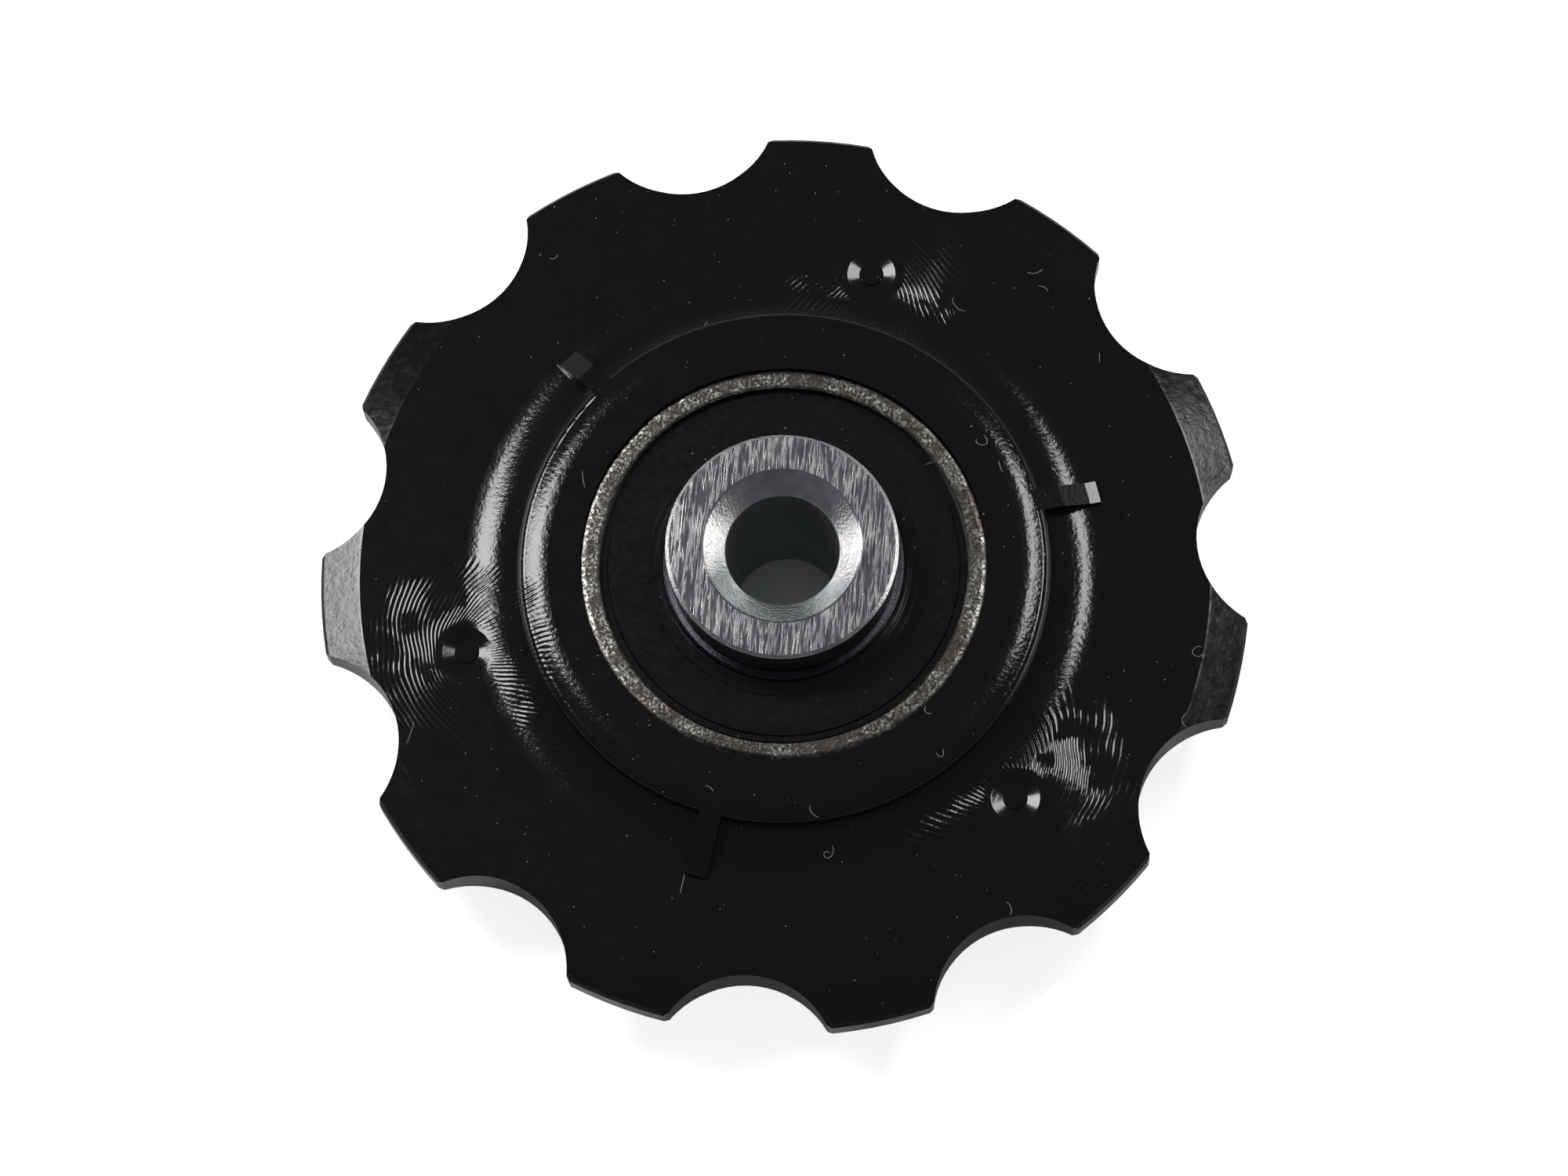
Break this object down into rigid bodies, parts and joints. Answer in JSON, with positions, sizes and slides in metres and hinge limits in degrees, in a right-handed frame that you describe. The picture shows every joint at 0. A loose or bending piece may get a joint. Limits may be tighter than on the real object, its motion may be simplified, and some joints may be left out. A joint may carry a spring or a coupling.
{
  "type": "chain tensioner pulley",
  "caption": "Small toothed guide wheel in black plastic for a bicycle chain, turning on a sealed ball bearing with a countersunk steel bush.",
  "frame": {"origin": "centre of the ball bearing, on the bush's bore axis in the middle plane of the wheel", "axes": "+Z along the bore towards the countersunk end of the bush, X and Y in the plane of the wheel"},
  "size_m": [0.042, 0.0417, 0.0108],
  "materials": {
    "black_pom": "semi-gloss moulded acetal",
    "seal_rubber": "satin",
    "ring_steel": "dull, pitted",
    "bush_steel": "ground face, fine scratches",
    "ball_steel": "polished",
    "sheet_steel": "pressed sheet"
  },
  "bodies": {
    "axle": {"bush": "bush_steel", "inner_ring": "ring_steel"},
    "wheel": {"pulley_wheel": "black_pom", "outer_ring": "ring_steel", "front_seal": "seal_rubber", "front_seal_insert": "sheet_steel", "rear_seal": "seal_rubber", "rear_seal_insert": "sheet_steel"},
    "cage": {"front_cage_half": "sheet_steel", "rear_cage_half": "sheet_steel", "cage_rivets": "sheet_steel"},
    "ball_1": {"ball_1": "ball_steel"},
    "ball_2": {"ball_2": "ball_steel"},
    "ball_3": {"ball_3": "ball_steel"},
    "ball_4": {"ball_4": "ball_steel"},
    "ball_5": {"ball_5": "ball_steel"},
    "ball_6": {"ball_6": "ball_steel"},
    "ball_7": {"ball_7": "ball_steel"},
    "ball_8": {"ball_8": "ball_steel"},
    "ball_9": {"ball_9": "ball_steel"},
    "ball_10": {"ball_10": "ball_steel"},
    "ball_11": {"ball_11": "ball_steel"}
  },
  "joints": [
    {"name": "wheel_spin", "type": "hinge", "parent": "axle", "child": "wheel", "pos_m": [0, 0, 0], "axis": [0, 0, 1], "continuous": true},
    {"name": "cage_spin", "type": "hinge", "parent": "axle", "child": "cage", "pos_m": [0, 0, 0], "axis": [0, 0, 1], "continuous": true},
    {"name": "ball_1_spin", "type": "hinge", "parent": "cage", "child": "ball_1", "pos_m": [0.00725, 0, 0], "axis": [0, 0, 1], "continuous": true},
    {"name": "ball_2_spin", "type": "hinge", "parent": "cage", "child": "ball_2", "pos_m": [0.0061, 0.00392, 0], "axis": [0, 0, 1], "continuous": true},
    {"name": "ball_3_spin", "type": "hinge", "parent": "cage", "child": "ball_3", "pos_m": [0.00301, 0.00659, 0], "axis": [0, 0, 1], "continuous": true},
    {"name": "ball_4_spin", "type": "hinge", "parent": "cage", "child": "ball_4", "pos_m": [-0.00103, 0.00718, 0], "axis": [0, 0, 1], "continuous": true},
    {"name": "ball_5_spin", "type": "hinge", "parent": "cage", "child": "ball_5", "pos_m": [-0.00475, 0.00548, 0], "axis": [0, 0, 1], "continuous": true},
    {"name": "ball_6_spin", "type": "hinge", "parent": "cage", "child": "ball_6", "pos_m": [-0.00696, 0.00204, 0], "axis": [0, 0, 1], "continuous": true},
    {"name": "ball_7_spin", "type": "hinge", "parent": "cage", "child": "ball_7", "pos_m": [-0.00696, -0.00204, 0], "axis": [0, 0, 1], "continuous": true},
    {"name": "ball_8_spin", "type": "hinge", "parent": "cage", "child": "ball_8", "pos_m": [-0.00475, -0.00548, 0], "axis": [0, 0, 1], "continuous": true},
    {"name": "ball_9_spin", "type": "hinge", "parent": "cage", "child": "ball_9", "pos_m": [-0.00103, -0.00718, 0], "axis": [0, 0, 1], "continuous": true},
    {"name": "ball_10_spin", "type": "hinge", "parent": "cage", "child": "ball_10", "pos_m": [0.00301, -0.00659, 0], "axis": [0, 0, 1], "continuous": true},
    {"name": "ball_11_spin", "type": "hinge", "parent": "cage", "child": "ball_11", "pos_m": [0.0061, -0.00392, 0], "axis": [0, 0, 1], "continuous": true}
  ],
  "couplings": [
    {"joint": "cage_spin", "follows": "wheel_spin", "ratio": 0.5821},
    {"joint": "ball_1_spin", "follows": "wheel_spin", "ratio": 2.9628},
    {"joint": "ball_2_spin", "follows": "wheel_spin", "ratio": 2.9628},
    {"joint": "ball_3_spin", "follows": "wheel_spin", "ratio": 2.9628},
    {"joint": "ball_4_spin", "follows": "wheel_spin", "ratio": 2.9628},
    {"joint": "ball_5_spin", "follows": "wheel_spin", "ratio": 2.9628},
    {"joint": "ball_6_spin", "follows": "wheel_spin", "ratio": 2.9628},
    {"joint": "ball_7_spin", "follows": "wheel_spin", "ratio": 2.9628},
    {"joint": "ball_8_spin", "follows": "wheel_spin", "ratio": 2.9628},
    {"joint": "ball_9_spin", "follows": "wheel_spin", "ratio": 2.9628},
    {"joint": "ball_10_spin", "follows": "wheel_spin", "ratio": 2.9628},
    {"joint": "ball_11_spin", "follows": "wheel_spin", "ratio": 2.9628}
  ]
}
